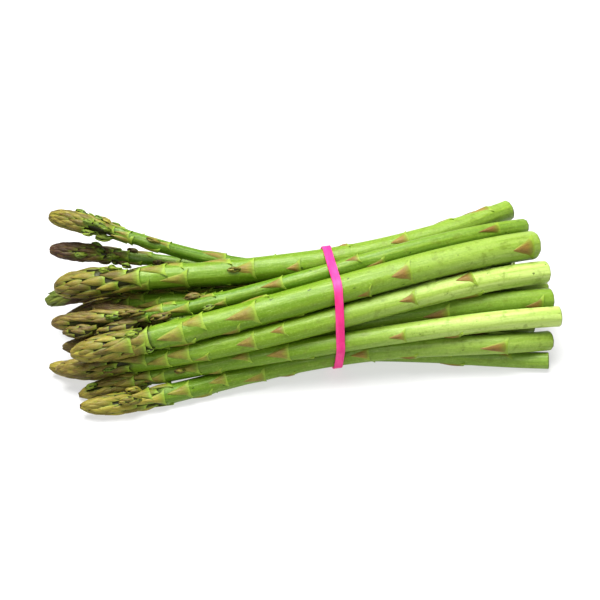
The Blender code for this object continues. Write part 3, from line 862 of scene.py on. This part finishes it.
def rubber_material():
    m = Nodes("pink_rubber")
    flat = m.attribute("flat")
    around, across, out = m.split(flat)
    grain = m.noise(m.scaled(flat, (0.25, 2.5, 1.0)), 1.6, 3, 0.6)
    cloud = m.noise(m.scaled(flat, (0.12, 0.25, 0.2)), 1.0, 2, 0.5)
    base = m.mix(m.curve(cloud, 0.3, 0.7), srgb(214, 48, 124), srgb(226, 68, 140))
    base = m.mix(m.curve(grain, 0.5, 0.8, 0, 0.4), base, srgb(184, 34, 100))
    m.link(base, m.shader.inputs["Base Color"])
    m.link(m.curve(grain, 0.3, 0.7, 0.45, 0.62), m.shader.inputs["Roughness"])
    m.bump(grain, 0.5, 0.00015)
    m.set(Subsurface_Weight=0.15, Subsurface_Scale=0.002, Subsurface_Radius=(1.0, 0.3, 0.6),
          Specular_IOR_Level=0.35)
    return m.material


MATERIALS = [stem_material(), leaf_material(), cut_material()]

# ---------------------------------------------------------------- spears

for (name, spec), path in zip(SPEARS.items(), PATHS):
    piece = grow(name, spec, path)
    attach(piece, "root")
    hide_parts(name)

# ---------------------------------------------------------------- the rubber band


def hull(points):
    points = sorted(map(tuple, points))
    chains = []
    for run in (points, points[::-1]):
        chain = []
        for p in run:
            while len(chain) > 1:
                (ax, ay), (bx, by) = chain[-2], chain[-1]
                if (bx - ax) * (p[1] - ay) - (by - ay) * (p[0] - ax) > 0:
                    break
                chain.pop()
            chain.append(p)
        chains.append(chain[:-1])
    return np.array(chains[0] + chains[1])


def rubber_band():
    turn = np.linspace(0, 2 * np.pi, 120, endpoint=False)
    loops = []
    n = 300
    for shift in (-BAND_WIDTH / 2, 0, BAND_WIDTH / 2):
        found = []
        for spec, path in zip(SPEARS.values(), PATHS):
            line = Line(spec, path)
            y0, z0 = (np.interp(BAND_X, X, path[:, c]) for c in (0, 1))
            at = BAND_X + shift + BAND_LEAN_Y * y0 + BAND_LEAN_Z * (z0 - 25)
            y, z = (np.interp(at, X, path[:, c]) for c in (0, 1))
            r = line.size(np.array([at - line.x0]))[0] + 0.12
            found.append(np.stack([y + r * np.cos(turn), z + r * np.sin(turn)], 1))
        ring = hull(np.concatenate(found))
        middle = np.array([0.0, 25.0])
        angles = np.arctan2(ring[:, 1] - middle[1], ring[:, 0] - middle[0])
        order = np.argsort(angles)
        ring, angles = ring[order], angles[order]
        dist = np.linalg.norm(ring - middle, axis=1)
        want = np.linspace(-np.pi, np.pi, n, endpoint=False)
        # where a straight run between two spears crosses each direction
        closed = np.vstack([ring, ring[:1]])
        a0 = np.concatenate([angles, [angles[0] + 2 * np.pi]])
        out = np.empty((n, 2))
        for i, w in enumerate(want):
            ww = w if w >= a0[0] else w + 2 * np.pi
            j = min(np.searchsorted(a0, ww, side="right") - 1, len(ring) - 1)
            p, q = closed[j], closed[j + 1]
            d = np.array([np.cos(w), np.sin(w)])
            e = q - p
            det = d[0] * -e[1] + d[1] * e[0]
            t = ((p - middle)[0] * -e[1] + (p - middle)[1] * e[0]) / det if abs(det) > 1e-9 else dist[j]
            out[i] = middle + d * t
        loops.append(out)
    walked = np.concatenate([[0], np.cumsum(np.linalg.norm(np.diff(loops[1], axis=0), axis=1))])
    # rounded flat section: across the band, then how far out of its inner face
    half, thick, r = BAND_WIDTH / 2, BAND_THICK, 0.28
    section = []
    for cx, cy, a0 in ((half - r, thick - r, 0), (-half + r, thick - r, 90), (-half + r, r, 180),
                       (half - r, r, 270)):
        for k in range(4):
            a = np.radians(a0 + k * 30)
            section.append((cx + r * np.cos(a), cy + r * np.sin(a)))
    section.insert(4, (0.9, thick)), section.insert(5, (0.0, thick)), section.insert(6, (-0.9, thick))
    section = np.array(section)
    m = len(section)
    ahead = np.roll(loops[1], -1, axis=0) - np.roll(loops[1], 1, axis=0)
    ahead /= np.linalg.norm(ahead, axis=1)[:, None]
    out = np.stack([ahead[:, 1], -ahead[:, 0]], 1)
    rng = np.random.default_rng(5)
    angle = np.linspace(-np.pi, np.pi, n, endpoint=False)
    drift = sum(rng.normal(0, 0.09) * np.sin(k * angle + rng.uniform(0, 6.28)) for k in (2, 3, 5))
    width = 1 + sum(rng.normal(0, 0.012) * np.sin(k * angle + rng.uniform(0, 6.28)) for k in (3, 7, 11))
    points = np.empty((n, m, 3))
    flat = np.empty((n, m, 3))
    for k, (across, height) in enumerate(section):
        f = (across / half + 1) / 2
        low, mid, high = loops
        at = low * (1 - 2 * f) + mid * 2 * f if f < 0.5 else mid * (2 - 2 * f) + high * (2 * f - 1)
        # pulled tight, it is a touch hollow between its edges
        dish = -0.05 * (1 - (across / half) ** 2)
        p = at + out * (height + dish if height > 0.5 else height)[None] if False else at + out * (
            height + (dish if height > 0.5 else 0)
        )
        points[:, k, 1:] = p
        points[:, k, 0] = BAND_X + across * width + drift + BAND_LEAN_Y * p[:, 0] + BAND_LEAN_Z * (p[:, 1] - 25)
        flat[:, k] = np.stack([walked, np.full(n, across), np.full(n, height)], 1)
    index = np.arange(n * m).reshape(n, m)
    a, b = index, np.roll(index, -1, axis=0)
    quads = np.stack([a, np.roll(a, -1, axis=1), np.roll(b, -1, axis=1), b], -1).reshape(-1, 4)
    shells = Shells()
    shells.add((points + SHIFT).reshape(-1, 3), flat.reshape(-1, 3), flat.reshape(-1, 3), quads)
    obj = shells.build("pink_rubber_band", [rubber_material()], (0, 0, 0))
    mesh = obj.data
    mesh.calc_loop_triangles()
    tri = np.array([t.vertices[:] for t in mesh.loop_triangles])
    co = np.array([v.co[:] for v in mesh.vertices])
    if np.linalg.det(co[tri]).sum() < 0:
        mesh.flip_normals()
    return obj


band = rubber_band()
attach(band, "root")
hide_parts("rubber_band")

# ---------------------------------------------------------------- floor, light, camera


def floor():
    size = 6.0
    mesh = bpy.data.meshes.new("floor")
    mesh.from_pydata([(-size, -size, 0), (size, -size, 0), (size, size, 0), (-size, size, 0)], [], [(0, 1, 2, 3)])
    m = Nodes("pale_floor")
    m.set(Base_Color=(0.30, 0.30, 0.30, 1), Roughness=0.9, Specular_IOR_Level=0.1,
          Emission_Color=(1, 1, 1, 1), Emission_Strength=0.5)
    mesh.materials.append(m.material)
    obj = bpy.data.objects.new("floor", mesh)
    bpy.context.scene.collection.objects.link(obj)
    obj.location.z = -0.0002


def area(name, where, aim, size, power, colour=(1, 1, 1)):
    light = bpy.data.lights.new(name, "AREA")
    light.shape = "RECTANGLE"
    light.size, light.size_y = size
    light.energy = power
    light.color = colour
    obj = bpy.data.objects.new(name, light)
    obj.location = where
    from mathutils import Vector

    obj.rotation_euler = (Vector(aim) - Vector(where)).to_track_quat("-Z", "Y").to_euler()
    bpy.context.scene.collection.objects.link(obj)


def light_and_camera():
    from mathutils import Matrix, Vector

    scene = bpy.context.scene
    world = bpy.data.worlds.new("soft_studio")
    scene.world = world
    world.use_nodes = True
    back = world.node_tree.nodes["Background"]
    back.inputs["Color"].default_value = (1.0, 1.0, 1.0, 1)
    # the studio's walls are pale near the floor and dim higher up
    tree = world.node_tree
    where = tree.nodes.new("ShaderNodeTexCoord")
    parts = tree.nodes.new("ShaderNodeSeparateXYZ")
    fade = tree.nodes.new("ShaderNodeMapRange")
    fade.interpolation_type = "SMOOTHSTEP"
    for key, v in (("From Min", 0.10), ("From Max", 0.26), ("To Min", 0.62), ("To Max", 0.04)):
        fade.inputs[key].default_value = v
    tree.links.new(where.outputs["Generated"], parts.inputs[0])
    tree.links.new(parts.outputs["Z"], fade.inputs["Value"])
    tree.links.new(fade.outputs["Result"], back.inputs["Strength"])
    area("key", (-0.2, 0.22, 1.5), (0, 0, 0.02), (1.1, 1.1), 51)
    area("front", (-0.3, -1.3, 1.2), (0, 0, 0.02), (0.7, 0.7), 9)
    az, el = np.radians(-8.0), np.radians(41.0)
    ahead = Vector((-np.sin(az) * np.cos(el), np.cos(az) * np.cos(el), -np.sin(el)))
    right = Vector((np.cos(az), np.sin(az), 0))
    up = right.cross(ahead)
    aim = Vector((0, 0, 25.0)) + Vector(SHIFT)
    where = (aim - 950.0 * ahead + 1.4 * up) * MM
    camera = bpy.data.cameras.new("camera")
    camera.sensor_width = 36
    camera.lens = 2010 * 36 / 600
    camera.clip_start, camera.clip_end = 0.05, 30
    obj = bpy.data.objects.new("camera", camera)
    obj.matrix_world = Matrix.Translation(where) @ Matrix(
        ((right.x, up.x, -ahead.x), (right.y, up.y, -ahead.y), (right.z, up.z, -ahead.z))
    ).to_4x4()
    scene.collection.objects.link(obj)
    scene.camera = obj
    scene.view_settings.view_transform = "Standard"
    scene.view_settings.look = "Medium High Contrast"
    scene.view_settings.exposure = 0.0


floor()
light_and_camera()
